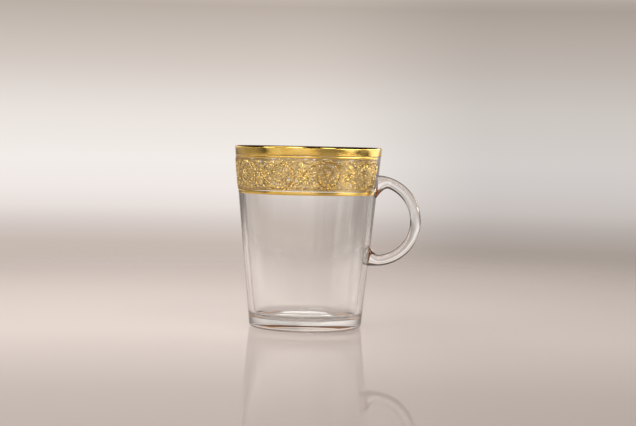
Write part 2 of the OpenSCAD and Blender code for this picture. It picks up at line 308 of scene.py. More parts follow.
# handle
handle = dict(
    height=55.1, ring=20.25, standoff=1.07, thick=5.6, wide=7.6, full=3.4, topHigh=14.5, bottomHigh=13, rootWide=10,
    topStart=68, bottomStart=84, bite=1.4, crook=1.2, sides=96, rootRings=30, barRings=180, seat=0.012,
    seatShares=(0.25, 0.6), windowHigh=16, topMiddle=6, bottomMiddle=5.2, sharp=50,
)
ringOuter = handle["ring"] + handle["thick"] / 2
ringInner = handle["ring"] - handle["thick"] / 2
# middle heights of the two handle roots on the wall
rootLevels = [handle["height"] + ringOuter - handle["topMiddle"],
              handle["height"] - ringOuter + handle["bottomMiddle"]]


def handleRings():
    # sections from the top root to the bottom root, each line of points starting where it leaves the wall
    ringX = wallRadius(handle["height"]) + handle["standoff"]
    starts = radians(handle["topStart"]), -radians(handle["bottomStart"])
    turns = np.arange(handle["sides"]) * 2 * pi / handle["sides"]

    def polar(r, a):
        return np.array([r * cos(a), r * sin(a)])

    def wallSpot(level):
        return np.array([wallRadius(handle["height"] + level) - handle["bite"] - ringX, level])

    def section(outer, inner, wide):
        middle, reach = (outer + inner) / 2, (outer - inner) / 2
        c, s = (np.sign(v) * np.abs(v) ** (2 / handle["full"]) for v in (np.cos(turns), np.sin(turns)))
        return np.stack([ringX + middle[..., 0] + reach[..., 0] * c, wide / 2 * s,
                         handle["height"] + middle[..., 1] + reach[..., 1] * c], -1)

    def rootLines(outer, inner):
        def at(t):
            t = np.broadcast_to(t, turns.shape)[:, None]
            bend = lambda a, b, c: a * (1 - t) ** 2 + b * 2 * t * (1 - t) + c * t * t
            wide = handle["rootWide"] + (handle["wide"] - handle["rootWide"]) * (t * t * (3 - 2 * t))[:, 0]
            return section(bend(*outer), bend(*inner), wide)

        low, high = np.zeros(len(turns)), np.ones(len(turns))
        for step in range(40):
            t = (low + high) / 2
            p = at(t)
            inside = np.hypot(p[:, 0], p[:, 1]) < wallRadius(p[:, 2]) + handle["seat"]
            low, high = np.where(inside, t, low), np.where(inside, high, t)
        return [at(high + (1 - high) * u) for u in np.linspace(0, 1, handle["rootRings"], endpoint=False)]

    (topOuter, topInner), (lowOuter, lowInner) = ((polar(ringOuter, a), polar(ringInner, a)) for a in starts)
    crown = np.array([topOuter[0] - (ringOuter - topOuter[1]) * tan(starts[0]), ringOuter])
    crook = topInner + polar(ringInner * tan((pi / 2 - starts[0]) / 2), starts[0] + pi / 2)
    top = rootLines((wallSpot(ringOuter), crown, topOuter),
                    (wallSpot(ringOuter - handle["topHigh"]), crook, topInner))
    toe, ledge = wallSpot(-ringOuter), wallSpot(handle["bottomHigh"] - ringOuter)
    crown = np.array([(lowOuter[0] + toe[0]) / 2, -ringOuter])
    crook = np.array([ledge[0] + handle["bite"] + handle["crook"], -ringInner])
    bottom = rootLines((toe, crown, lowOuter), (ledge, crook, lowInner))
    bar = [section(polar(ringOuter, a), polar(ringInner, a), handle["wide"])
           for a in np.linspace(*starts, handle["barRings"] + 1)]
    return top, bar, bottom[::-1]


def buildHandle():
    top, bar, bottom = handleRings()
    shares, sides = handle["seatShares"], handle["sides"]

    def seat(ring, level, share):
        y, z = ring[:, 1] * share, level + (ring[:, 2] - level) * share
        return np.stack([np.sqrt((wallRadius(z) + handle["seat"]) ** 2 - y * y), y, z], -1)

    rings = ([seat(top[0], rootLevels[0], s) for s in shares] + top + bar + bottom
             + [seat(bottom[-1], rootLevels[1], s) for s in reversed(shares)])
    points = np.concatenate(rings).tolist()
    faces, slots = skin(len(rings), sides), []
    for i in range(len(rings) - 1):
        inSeat = i < len(shares) or i >= len(rings) - 1 - len(shares)
        slots += [int(inSeat)] * sides
    for first, level in ((0, rootLevels[0]), ((len(rings) - 1) * sides, rootLevels[1])):
        points.append((wallRadius(level) + handle["seat"], 0, level))
        for k in range(sides):
            tip = (first + k, first + (k + 1) % sides, len(points) - 1)
            faces.append(tip if first == 0 else tip[::-1])
            slots.append(1)
    return newPiece("handle_ring", points, faces, slots, handle["sharp"])


# gilding
gilding = dict(
    thick=0.1, rimHigh=4.5, insideHigh=1.8, collarGap=0.3, collarHigh=1.1, margin=0.3, lowerHigh=1.7, sink=0.025,
    rootClear=5, columns=288, sharp=60,
    # uneven edges: size, how much more inside, waves around the wall, seeds
    edgeWander=0.035, insideWander=3, wanderWaves=(2, 5, 9, 16, 27, 43), rimSeeds=(3, 4), collarSeed=21,
    lowerSeed=31, laps=[-83.2, -38.4], lapDepth=0.03,
    # rim section: height over its lower edge and share of the film, shares of the wall, swell of the film
    edgeRun=[(0, 0.3), (0.06, 0.5), (0.16, 0.6)], wallRun=(0.12, 0.97, 9), swell=(0.62, 0.38, 1.1), lipSteps=24,
    line=(11, 0.75, 2.6),
)
rimLow = bowl["height"] - gilding["rimHigh"]
collarHigh = rimLow - gilding["collarGap"]
collarLow = collarHigh - gilding["collarHigh"]


def wander(turns, seed, size):
    # slow unevenness around the wall, as a hand-held brush leaves it
    luck = np.random.default_rng(seed)
    a = np.radians(np.asarray(turns, float))
    waves = [(n, luck.uniform(0, 6.28), luck.uniform(0.3, 1))
             for n in gilding["wanderWaves"]]
    return size * sum(w / 2 * np.cos(n * a + p) for n, p, w in waves)


def bandPiece(name, rows, closed):
    # skin over rows of section points, around the whole wall or with two end faces
    rows = np.asarray(rows)
    count, wide = rows.shape[:2]
    faces = skin(count, wide, closed) + ([] if closed else caps(count, wide))
    return newPiece(name, rows.reshape(-1, 3), faces, None, gilding["sharp"])


def buildRim():
    turns = np.arange(gilding["columns"]) * 360 / gilding["columns"]
    insideLow, sink = bowl["height"] - gilding["insideHigh"], gilding["sink"]
    lows, inLows = (wander(turns, seed, gilding["edgeWander"] * share)
                    for seed, share in zip(gilding["rimSeeds"], (1, gilding["insideWander"])))
    even, puff, crest = gilding["swell"]
    rows = []
    for turn, low, inLow in zip(turns, lows, inLows):
        # two places where the brush lapped over its own start
        gap = min(abs(turn - lap % 360) for lap in gilding["laps"])
        film = gilding["thick"] - gilding["lapDepth"] * exp(-(gap / 0.7) ** 2)
        low, inLow = rimLow + max(low, 0), insideLow + abs(inLow)
        profile = [offWall(low, -sink)] + [offWall(low + up, film * share) for up, share in gilding["edgeRun"]]
        for share in np.linspace(*gilding["wallRun"]):
            swell = even + puff * sin(pi * min(share / crest, 1))
            profile.append(offWall(rimLow + share * (lipCentre[1] - rimLow), film * swell))
        profile += lipArc(film, gilding["lipSteps"])
        profile += [offInside(inLow + 0.1, film),
                    offInside(inLow, film * 0.5), offInside(inLow, -sink)]
        profile += lipArc(-sink, 12)[::-1]
        rows.append(spun(profile, [turn])[0])
    return bandPiece("rim_gold", rows, True)


def buildLine(name, lowLevel, highLevel, seed):
    count, fall, soft = gilding["line"]
    turns = np.linspace(friezeOpen, 360 - friezeOpen, gilding["columns"])
    lows = lowLevel + np.abs(wander(turns, seed, gilding["edgeWander"]))
    highs = highLevel - np.abs(wander(turns, seed + 1, gilding["edgeWander"]))
    rows = []
    for turn, low, high in zip(turns, lows, highs):
        profile = [offWall(low, -gilding["sink"])]
        for share in np.linspace(0, 1, count):
            film = gilding["thick"] * (1 - fall * abs(2 * share - 1) ** soft)
            profile.append(offWall(low + share * (high - low), film))
        profile.append(offWall(high, -gilding["sink"]))
        rows.append(spun(profile, [turn])[0])
    return bandPiece(name, rows, False)


# frieze: all places are along the wall and up from the foot of the frieze, in millimetres
frieze = dict(
    high=15.7, scrolls=9, relief=0.4, margin=0.35, sink=0.04, sharp=55, seed=11,
    # sections of raised strips across and up, and the most that a strip rises over its half width
    leafSection=[(-1, 0), (-0.92, 0.24), (0, 1), (0.92, 0.24), (1, 0)],
    threadSection=[(-1, 0), (-0.7, 0.66), (0, 1), (0.7, 0.66), (1, 0)], steep=1.1, stem=1.15, thin=0.4, turn=540,
    eye=2.7, swing=32,
    # run into the next scroll: turn, points, thinning; core of a vine: shares of its width and height
    lead=(70, 14, 0.75), core=(0.32, 0.6), edgeRoom=0.2, leastClimb=0.16,
    # leaf: points, bulge, roundness, depth and count of notches, least half width
    leaf=(11, 0.8, 0.85, 0.16, 7, 0.05),
    # feathered leaf: places of its lobes, their length, shift, least length, turn, share, curl, height, then its rib
    lobesAt=(0.14, 0.38, 0.62), lobe=(0.92, 0.16, 0.4, 40, 0.52, 34, 0.86), rib=(0.34, 0.09),
    # pairs of leaves along the vine: step, length, share, turn, curl, look ahead, height
    pair=(1.2, 1.9, 0.48, 42, 18, 0.3, 0.75), pairSeed=5,
    # side leaves: first, end and step of the turn, side, rake, length, share, curl
    sprays=[(172, 341, 27, -1, 38, 3.0, 0.56, 26), (66, 151, 19, -1, 52, 1.95, 0.6, 20),
            (232, 321, 27, 1, 20, 4.0, 0.5, 30), (44, 45, 1, 1, -34, 3.2, 0.5, -30)],
    sprayRoot=0.36, sprayHigh=0.95, featherFrom=2.4,
    # tendrils: turn, side, size; for all points, turn, width, closing, distance, half width, thinning, height
    tendrils=[(96, 1, 2.1), (148, 1, 2.3), (206, 1, 2.2), (338, 1, 1.5), (24, -1, 2.4)],
    tendril=(26, 5.4, 0.42, 0.72, 0.4, 0.2, 0.06, 0.22),
    # petals of the eye: count, root, length, share, height; leaves of a star: length, root, share
    petal=(6, 0.72, 1.25, 0.92, 0.9), eyeBead=0.82, starTurns=(45, 90, 135), star=(6.0, 0.4, 0.5),
    # arches along the edges: step, points, inset, width, height, half width, lift
    arch=(1.28, 8, 0.12, 0.43, 0.62, 0.13, 0.18),
    # small leaves in free places: length and share; free distance at the root; turn, curl, edge, gap, height
    sprouts=[(3.2, 0.42), (2.5, 0.44), (1.9, 0.46), (1.4, 0.5)], sproutFree=(0.16, 0.3),
    sprout=(32, 40, 0.1, 0.14, 0.34), sproutLeaf=1.6, grain=0.1, takeReach=2.6, beadSides=8, beadRadius=0.3,
    beadGap=0.3, beadRings=[(0.94, 0.45), (0.55, 0.88)],
    # film: height; grain up and along, how near an ornament, longest run, lowest place
    film=0.06, filmRun=(0.2, 0.05, 0.156, 2.0, 0.02),
)
friezeHigh = collarLow - gilding["margin"]
friezeLow = friezeHigh - frieze["high"]
lowerHigh = friezeLow - gilding["margin"]
lowerLow = lowerHigh - gilding["lowerHigh"]
friezeRadius = wallRadius(friezeLow + frieze["high"] / 2)
friezeOpen = degrees(asin((handle["rootWide"] / 2 + gilding["rootClear"]) / friezeRadius))
scrollStep = (360 - friezeOpen * 2) / frieze["scrolls"]
pitch = friezeRadius * radians(scrollStep)
scrollOuter = (frieze["high"] - frieze["stem"]) / 2 - frieze["margin"]
middle = np.array([0, frieze["high"] / 2])


class Relief:
    # raised gold gathered into one mesh
    def __init__(self):
        self.points, self.faces = [], []

    def onWall(self, turn, places, lifts):
        places = np.asarray(places, float)
        a = np.radians(turn) + places[..., 0] / friezeRadius
        level = friezeLow + places[..., 1]
        r = wallRadius(level) + lifts * cos(lean)
        return np.stack([r * np.cos(a), r * np.sin(a), level - lifts * sin(lean)], -1)

    def strip(self, turn, line, halves, section, high):
        # raised strip along a line, closed below and at its ends
        line, halves = np.asarray(line, float), np.asarray(halves, float)
        ahead = np.gradient(line, axis=0)
        ahead /= np.linalg.norm(ahead, axis=1)[:, None]
        across = np.stack([-ahead[:, 1], ahead[:, 0]], -1)
        places = np.stack([line + across * (halves * u)[:, None] for u, v in section], 1)
        tall = np.minimum(high, halves * frieze["steep"])[:, None]
        shares = np.array([v for u, v in section])[None, :]
        lifts = np.where(shares > 0, shares * tall, -frieze["sink"])
        shape = len(line), len(section)
        self.faces += skin(*shape, False, len(self.points)) + caps(*shape, len(self.points))
        self.points += self.onWall(turn, places, lifts).reshape(-1, 3).tolist()

    def slab(self, turn, x0, x1, y0, y1):
        # flat piece of the film that has run together between ornaments
        corners = [(x0, y0), (x1, y0), (x1, y1), (x0, y1)]
        start = len(self.points)
        for lift in (-frieze["sink"], frieze["film"]):
            self.points += self.onWall(turn, corners, np.full(4, lift)).tolist()
        for face in ((3, 2, 1, 0), (4, 5, 6, 7), (0, 1, 5, 4), (1, 2, 6, 5), (2, 3, 7, 6), (3, 0, 4, 7)):
            self.faces.append(tuple(start + k for k in face))

    def bead(self, turn, place, radius, high):
        sides = frieze["beadSides"]
        a = np.arange(sides) * 2 * pi / sides
        ring = np.stack([np.cos(a), np.sin(a)], -1)
        start = len(self.points)
        lifted = [(share, high * up) for share, up in frieze["beadRings"]]
        for share, lift in [(1, -frieze["sink"])] + lifted:
            self.points += self.onWall(turn, place + ring * radius * share, np.full(sides, lift)).tolist()
        self.points += self.onWall(turn, place[None, :], np.array([high])).tolist()
        for k in range(sides):
            n = (k + 1) % sides
            for row in (start, start + sides):
                self.faces.append((row + k, row + n, row + sides + n, row + sides + k))
            self.faces.append((start + 2 * sides + k, start + 2 * sides + n, start + 3 * sides))
        self.faces.append(tuple(start + k for k in reversed(range(sides))))


def vineRadius(turned):
    return (scrollOuter + (frieze["eye"] - scrollOuter) * (turned / frieze["turn"]) ** 2
            + (pitch / 2 - scrollOuter) * np.exp(-turned / frieze["swing"]))


def vine(flip, turned, along=-1):
    # the vine of a scroll, or with along 1 its run into the next scroll
    a = np.radians(turned)
    return middle + vineRadius(turned)[..., None] * np.stack([along * np.cos(a), -flip * np.sin(a)], -1)


def vineSpoke(flip, turned):
    # place on the vine and the way out from the scroll's middle
    at = vine(flip, np.array(float(turned)))
    return at, (at - middle) / np.linalg.norm(at - middle)


def vineWidth(turned):
    return frieze["stem"] * (1 - frieze["thin"] * turned / frieze["turn"])


def heading(angle):
    return np.array([cos(radians(angle)), sin(radians(angle))])


def headroom(root, climb):
    # distance to the edge of the frieze that a leaf climbs towards
    return frieze["high"] - root[1] if climb > 0 else root[1]


def fitted(length, room, climb):
    return min(length, room / max(abs(climb), frieze["leastClimb"]))


def leafShape(root, angle, length, share, curl):
    # line and half widths of a lobed, pointed leaf
    steps, bulge, soft, notch, notches, least = frieze["leaf"]
    t = np.linspace(0, 1, steps)
    aim = np.radians(angle) + np.radians(curl) * t
    step = length / (len(t) - 1)
    line = np.asarray(root) + np.concatenate([[[0, 0]], np.cumsum(
        step * np.stack([np.cos(aim), np.sin(aim)], -1)[:-1], 0)])
    halves = np.sin(pi * t ** bulge) ** soft * (1 - notch * np.cos(t * notches * pi) ** 2)
    return line, np.maximum(halves * length * share / 2, least)


def feather(root, angle, length, share, curl, high):
    # leaf cut into lobes along a rib
    rib, halves = leafShape(root, angle, length, share, curl)
    ribWide, ribLeast = frieze["rib"]
    strips = [(rib, np.maximum(halves * ribWide, ribLeast), "leafSection", high)]
    long, shift, least, turn, lobeShare, bend, lobeHigh = frieze["lobe"]
    for t in frieze["lobesAt"]:
        at = rib[int(round(t * (len(rib) - 1)))]
        lobe = max(length * share * long * sin(pi * (t + shift) ** frieze["leaf"][1]), least)
        for side in (-1, 1):
            shape = leafShape(at, angle + curl * t + side * turn, lobe, lobeShare, -side * bend)
            strips.append((*shape, "threadSection", high * lobeHigh))
    return strips


def leafyVine(line, halves):
    # thin core with pairs of leaves that overlap along it
    coreWide, coreHigh = frieze["core"]
    strips = [(line, halves * coreWide, "threadSection", frieze["relief"] * coreHigh)]
    luck = np.random.default_rng(frieze["pairSeed"])
    step, longest, share, turn, curl, look, pairHigh = frieze["pair"]
    run = np.concatenate([[0], np.cumsum(np.linalg.norm(np.diff(line, axis=0), axis=1))])
    for at in np.arange(step / 2, run[-1] - step / 2, step):
        root, ahead = (np.array([np.interp(at + d, run, line[:, n]) for n in (0, 1)]) for d in (0, look))
        size = np.interp(at, run, halves) / (frieze["stem"] / 2)
        for side in (-1, 1):
            spread = side * turn * luck.uniform(0.7, 1.4)
            angle = degrees(atan2(*(ahead - root)[::-1])) + spread
            size *= luck.uniform(0.8, 1.2)
            climb = sin(radians(angle))
            length = fitted(longest * size, headroom(root, climb) - frieze["edgeRoom"], climb)
            strips.append((*leafShape(root, angle, length, share, -side * curl), "leafSection",
                           frieze["relief"] * pairHigh))
    return strips


def starLine(flip):
    swing = (pitch / 2 - scrollOuter) * 180 / (pi * frieze["swing"])
    return degrees(atan2(-flip * pitch / 2, swing))


def scrollStrips(flip, first, last):
    # every strip of one scroll as (line, half widths, section, height)
    turned = np.linspace(0, frieze["turn"], 100)
    line, halves = vine(flip, turned), vineWidth(turned) / 2
    lead, count, thin = frieze["lead"]
    back = np.linspace(lead, 0, count)
    leadHalves = frieze["stem"] / 2 * (1 - thin * (back / lead) ** 2)
    if not first:
        line = np.concatenate([vine(-flip, back[:-1], 1) - np.array([pitch, 0]), line])
        halves = np.concatenate([leadHalves[:-1], halves])
    strips = leafyVine(line, halves)
    if last:
        strips += leafyVine(vine(flip, back, 1), leadHalves)
    for start, stop, step, side, rake, longest, share, curl in frieze["sprays"]:
        for turned in range(start, stop, step):
            at, spoke = vineSpoke(flip, turned)
            root = at + spoke * side * vineWidth(turned) * frieze["sprayRoot"]
            angle = degrees(atan2(spoke[1] * side, spoke[0] * side)) + flip * side * rake
            climb = sin(radians(angle))
            length = fitted(longest, headroom(root, climb), climb)
            leaf, high = (root, angle, length, share, flip * side * curl), frieze["relief"] * frieze["sprayHigh"]
            if length > frieze["featherFrom"]:
                strips += feather(*leaf, high)
            else:
                strips.append((*leafShape(*leaf), "leafSection", high))
    # thin tendrils that leave the vine and curl back on themselves
    count, whole, wide, close, off, half, thin, high = frieze["tendril"]
    t = np.linspace(0, 1, count)
    a = t * whole
    for turned, side, size in frieze["tendrils"]:
        at, spoke = vineSpoke(flip, turned)
        along = np.array([-spoke[1], spoke[0]]) * flip
        r = size * wide * (1 - close * t)
        hub = at + spoke * side * (vineWidth(turned) / 2 + size * off)
        curl = hub + r[:, None] * (-spoke * side * np.cos(a)[:, None] + along * np.sin(a)[:, None])
        curl[:, 1] = np.clip(curl[:, 1], frieze["edgeRoom"], frieze["high"] - frieze["edgeRoom"])
        strips.append((curl, half - thin * t, "threadSection", high))
    count, out, length, share, petalHigh = frieze["petal"]
    for k in range(count):
        angle = 360 / count * (k + 0.5)
        strips.append((*leafShape(middle + out * heading(angle), angle, length, share, 0), "leafSection",
                       frieze["relief"] * petalHigh))
    return strips


def starStrips(flip, end):
    # leaves of the star between two scrolls, at an end of the frieze only those that point inwards
    strips = []
    longest, out, share = frieze["star"]
    room = pitch / 2 - vineRadius(180.0) - vineWidth(180) / 2 - frieze["stem"] / 2
    for side in (-1, 1):
        for spread in frieze["starTurns"]:
            angle = starLine(flip) + side * spread
            aim = heading(angle)
            if end * aim[0] > 1e-6:
                continue
            root = middle + aim * frieze["stem"] * out
            length = fitted(fitted(longest, room, aim[0]), headroom(root, aim[1]), aim[1])
            strips += feather(root, angle, length, share, 0, frieze["relief"])
    return strips


def scallops():
    # small arches that stand on both edges of the frieze across one scroll
    strips = []
    step, points, inset, across, high, half, lift = frieze["arch"]
    count = round(pitch / step)
    wide = pitch / count
    a = np.linspace(0, pi, points)
    for base, up in ((inset, 1), (frieze["high"] - inset, -1)):
        for n in range(count):
            x = -pitch / 2 + (n + 0.5) * wide
            line = np.stack([x - np.cos(a) * wide * across, base + up * np.sin(a) * high], -1)
            strips.append((line, np.full(points, half), "threadSection", lift))
    return strips


def stripDiscs(line, halves):
    # discs under a strip
    line, halves = np.asarray(line, float), np.broadcast_to(halves, (len(line),))
    spots = np.concatenate([line, (line[1:] + line[:-1]) / 2])
    return spots, np.concatenate([halves, (halves[1:] + halves[:-1]) / 2])


class Room:
    # free distance around each place of one scroll's share of the frieze
    def __init__(self, strips):
        self.grain = grain = frieze["grain"]
        self.xs = np.arange(-pitch / 2, pitch / 2 + grain, grain)
        self.ys = np.arange(0, frieze["high"] + grain, grain)
        self.places = np.stack(np.meshgrid(self.xs, self.ys), -1)
        edge = np.minimum(self.places[..., 1], frieze["high"] - self.places[..., 1])
        self.free = np.minimum(edge + 0.05, 9.0)
        for line, halves, section, high in strips:
            self.take(*stripDiscs(line, halves))

    def take(self, spots, radii):
        reach = frieze["takeReach"]
        for spot, radius in zip(spots, radii):
            i0, i1 = (int((v - reach + pitch / 2) / self.grain) for v in (spot[0], spot[0] + 2 * reach))
            j0, j1 = (int((v - reach) / self.grain) for v in (spot[1], spot[1] + 2 * reach))
            part = np.s_[max(j0, 0):max(j1, 0), max(i0, 0):max(i1, 0)]
            away = np.hypot(*np.moveaxis(self.places[part] - spot, -1, 0)) - radius
            self.free[part] = np.minimum(self.free[part], away)

    def at(self, spots):
        i = np.clip(np.rint((spots[:, 0] + pitch / 2) / self.grain).astype(int), 0, len(self.xs) - 1)
        j = np.clip(np.rint(spots[:, 1] / self.grain).astype(int), 0, len(self.ys) - 1)
        return self.free[j, i]


def packLeaves(room, luck):
    # small leaves that sprout from what is there into the free places
    leaves = []
    least, most = frieze["sproutFree"]
    turn, curl, edge, gap, high = frieze["sprout"]
    for length, share in frieze["sprouts"]:
        section = "leafSection" if length > frieze["sproutLeaf"] else "threadSection"
        dy, dx = np.gradient(room.free)
        tries = np.argwhere((room.free > least) & (room.free < most))
        luck.shuffle(tries)
        for n, (j, i) in enumerate(tries):
            if not least < room.free[j, i] < most:
                continue
            side = 1 if n % 2 else -1
            angle = degrees(atan2(dy[j, i], dx[j, i])) + side * turn
            line, halves = leafShape(room.places[j, i], angle, length, share, -side * curl)
            inside = (np.abs(line[:, 0]) < pitch / 2 - edge).all()
            # its first two points stand in what it sprouts from
            if inside and (room.at(line[2:]) > halves[2:] + gap).all():
                leaves.append((line, halves, section, high))
                room.take(*stripDiscs(line, halves))
    return leaves


def packBeads(room, luck):
    # beads in what is still free
    places = []
    radius, need = frieze["beadRadius"], frieze["beadRadius"] + frieze["beadGap"]
    tries = np.argwhere(room.free > need)
    luck.shuffle(tries)
    for j, i in tries:
        place = room.places[j, i]
        if room.free[j, i] > need and abs(place[0]) < pitch / 2 - radius:
            places.append(place)
            room.take([place], [radius])
    return places


def packFilm(room):
    # runs of film wherever an ornament is near, as (left, right, low, high)
    runs = []
    grain, step, reach, longest, foot = frieze["filmRun"]
    half = pitch / 2
    xs = np.arange(-half, half, step)
    for low in np.arange(foot, frieze["high"] - grain, grain):
        near = room.at(np.stack([xs, np.full(len(xs), low + grain / 2)], -1)) < reach
        edges = np.flatnonzero(np.diff(np.concatenate([[0], near.astype(int), [0]])))
        for first, last in edges.reshape(-1, 2):
            x0, x1 = -half + first * step, min(-half + last * step, half)
            count = max(1, ceil((x1 - x0) / longest))
            cuts = np.linspace(x0, x1, count + 1)
            runs += [(c0, c1, low, low + grain) for c0, c1 in zip(cuts, cuts[1:])]
    return runs


def buildFrieze():
    relief = Relief()
    edge = scallops()
    shift = np.array([pitch / 2, 0])
    beads, leaves, film = {}, {}, {}
    luck = np.random.default_rng(frieze["seed"])
    for flip in (1, -1):
        around = scrollStrips(flip, False, True) + edge
        for side in (-1, 1):
            around += [(line + side * shift, *rest) for line, *rest in starStrips(flip if side < 0 else -flip, 0)]
        room = Room(around)
        leaves[flip] = packLeaves(room, luck)
        beads[flip] = packBeads(room, luck)
        film[flip] = packFilm(room)
    scrolls = frieze["scrolls"]
    for unit in range(scrolls):
        flip = 1 if unit % 2 == 0 else -1
        turn = friezeOpen + scrollStep * (unit + 0.5)
        strips = scrollStrips(flip, unit == 0, unit == scrolls - 1) + edge + leaves[flip]
        for line, halves, section, high in strips:
            relief.strip(turn, line, halves, frieze[section], high)
        relief.bead(turn, middle, frieze["eyeBead"], frieze["relief"])
        for place in beads[flip]:
            relief.bead(turn, place, frieze["beadRadius"], frieze["beadRadius"] * 0.8)
        for run in film[flip]:
            relief.slab(turn, *run)
    for unit in range(scrolls + 1):
        end = -1 if unit == 0 else 1 if unit == scrolls else 0
        for line, halves, section, high in starStrips(1 if unit % 2 == 0 else -1, end):
            relief.strip(friezeOpen + scrollStep * unit, line, halves, frieze[section], high)
    print("frieze: small leaves and beads of a scroll", len(leaves[1]), len(beads[1]), "faces", len(relief.faces))
    return newPiece("frieze_gold", relief.points, relief.faces, None, frieze["sharp"])


# finishes
glass = dict(
    # edge is the colour of the painted shade along the glass's edges
    tint=(0.992, 0.992, 0.991), tintDeep=(0.984, 0.984, 0.983), cloud=34.0, edge=(0.16, 0.135, 0.10), ior=1.5,
    streak=0.012, bump=(0.06, 0.0004), lampTint=(0.99, 0.99, 0.985),
    # stretch of the streaks, where the painted dark edge shade begins and is full
    bowl=((420, 420, 9), (0.62, 0.95)), handle=((260, 260, 260), (0.1, 0.62)),
)


def seeThrough(paint, tint):
    return paint.add("BsdfTransparent", {"Color": tint})


def glassFinish(name, stretch, edgeShadeSpan, wallOnly):
    finish, paint = newFinish(name)
    place = paint.add("TexCoord", out="Object")
    streak = place.scaled(stretch).noise(1.0, 3.0)
    tint = place.noise(glass["cloud"]).rise(0.35, 0.7).blend(glass["tint"], glass["tintDeep"])
    # painted shade: the glass is darker along its edges, where its surface turns away from the view; with wallOnly,
    # not on faces that look up or down
    edge = paint.add("LayerWeight", {"Blend": 0.5}, "Facing").rise(*edgeShadeSpan)
    if wallOnly:
        up = paint.add("NewGeometry", out="Normal").axes()[2]
        edge = edge * (1 - (up * up).rise(0.1, 0.4))
    surface = paint.add("BsdfPrincipled", {
        "Base Color": edge.blend(tint, glass["edge"]),
        "Roughness": streak.rise(0.45, 0.75) * glass["streak"],
        "IOR": glass["ior"],
        "Transmission Weight": 1.0,
        "Normal": streak.bump(*glass["bump"]),
    })
    # lamps reach the table through the glass
    path = paint.add("LightPath", out="Is Shadow Ray")
    both = paint.add("MixShader", {0: path, 1: surface, 2: seeThrough(paint, glass["lampTint"])})
    paint.add("OutputMaterial", {"Surface": both})
    return finish


def weldFinish():
    # where handle and bowl are one glass, light goes straight on
    finish, paint = newFinish("glass_weld")
    paint.add("OutputMaterial", {"Surface": seeThrough(paint, (1, 1, 1))})
    return finish


gold = dict(
    bright=(0.95, 0.66, 0.19), deep=(0.86, 0.55, 0.12), pale=(0.93, 0.71, 0.29), pond=(0.84, 0.61, 0.22),
    # shadow is the colour of the painted shade line around each ornament
    ground=(0.95, 0.735, 0.36), shadow=(0.23, 0.125, 0.04), patch=160.0, grain=5200.0, bump=(0.10, 0.00004),
    # heights over the glass in metres: top of the film, end of the painted shade line around an ornament
    filmTop=(0.000064, 0.00007), shadeLineTop=(0.00012, 0.0002), shadeLineDark=0.85, groundRough=0.12, shadeLineRough=0.1,
    # roughness, how much it varies, stretch of the brush marks
    rim=(0.10, 0.10, (60, 60, 2600)), line=(0.14, 0.12, (60, 60, 2600)), relief=(0.06, 0.07, (900, 900, 900)),
)


def goldFinish(name, rough, roughSpan, brushed, relief=False):
    finish, paint = newFinish(name)
    place = paint.add("TexCoord", out="Object")
    tones = ("pale", "pond") if relief else ("bright", "deep")
    tint = place.noise(gold["patch"], 3.0).rise(0.35, 0.7).blend(*(gold[tone] for tone in tones))
    brush = place.scaled(brushed).noise(1.0, 4.0, 0.6)
    grain = place.noise(gold["grain"])
    roughness = rough + roughSpan * brush.rise(0.3, 0.75)
    if relief:
        # burnished crests; painted shade, a dark line, where the gold meets the glass, which is duller there too
        lift = place.fromAxis() - (place.axes()[2] * slope + bowl["baseWide"] / 2 * mm)
        ground = 1 - lift.rise(*gold["filmTop"])
        line = lift.band(*gold["filmTop"], *gold["shadeLineTop"])
        tint = ground.blend(tint, gold["ground"])
        tint = (line * gold["shadeLineDark"]).blend(tint, gold["shadow"])
        roughness = roughness + ground * gold["groundRough"] + line * gold["shadeLineRough"]
    marks = brush * 0.6 + grain * 0.4
    surface = paint.add("BsdfPrincipled", {
        "Base Color": tint, "Metallic": 1.0, "Roughness": roughness, "Normal": marks.bump(*gold["bump"])})
    paint.add("OutputMaterial", {"Surface": surface})
    return finish


def dress(piece, node, slot, *finishes):
    for finish in finishes:
        piece.data.materials.append(finish)
    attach(piece, "root")
    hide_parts(node)
    print("piece", piece.name, len(piece.data.polygons), "faces")


weld = weldFinish()
dress(buildBowl(), "glass_body", "glass", glassFinish("bowl_glass", *glass["bowl"], True), weld)
dress(buildHandle(), "handle", "handle_glass", glassFinish("handle_glass", *glass["handle"], False), weld)
dress(buildRim(), "rim_gilding", "gold_polished", goldFinish("rim_gold", *gold["rim"]))
lineGold = goldFinish("line_gold", *gold["line"])
dress(buildLine("collar_gold", collarLow, collarHigh, gilding["collarSeed"]), "collar_line", "gold_line", lineGold)
dress(buildLine("lower_gold", lowerLow, lowerHigh, gilding["lowerSeed"]), "lower_line", "gold_line", lineGold)
dress(buildFrieze(), "frieze_scrollwork", "gold_relief", goldFinish("relief_gold", *gold["relief"], True))

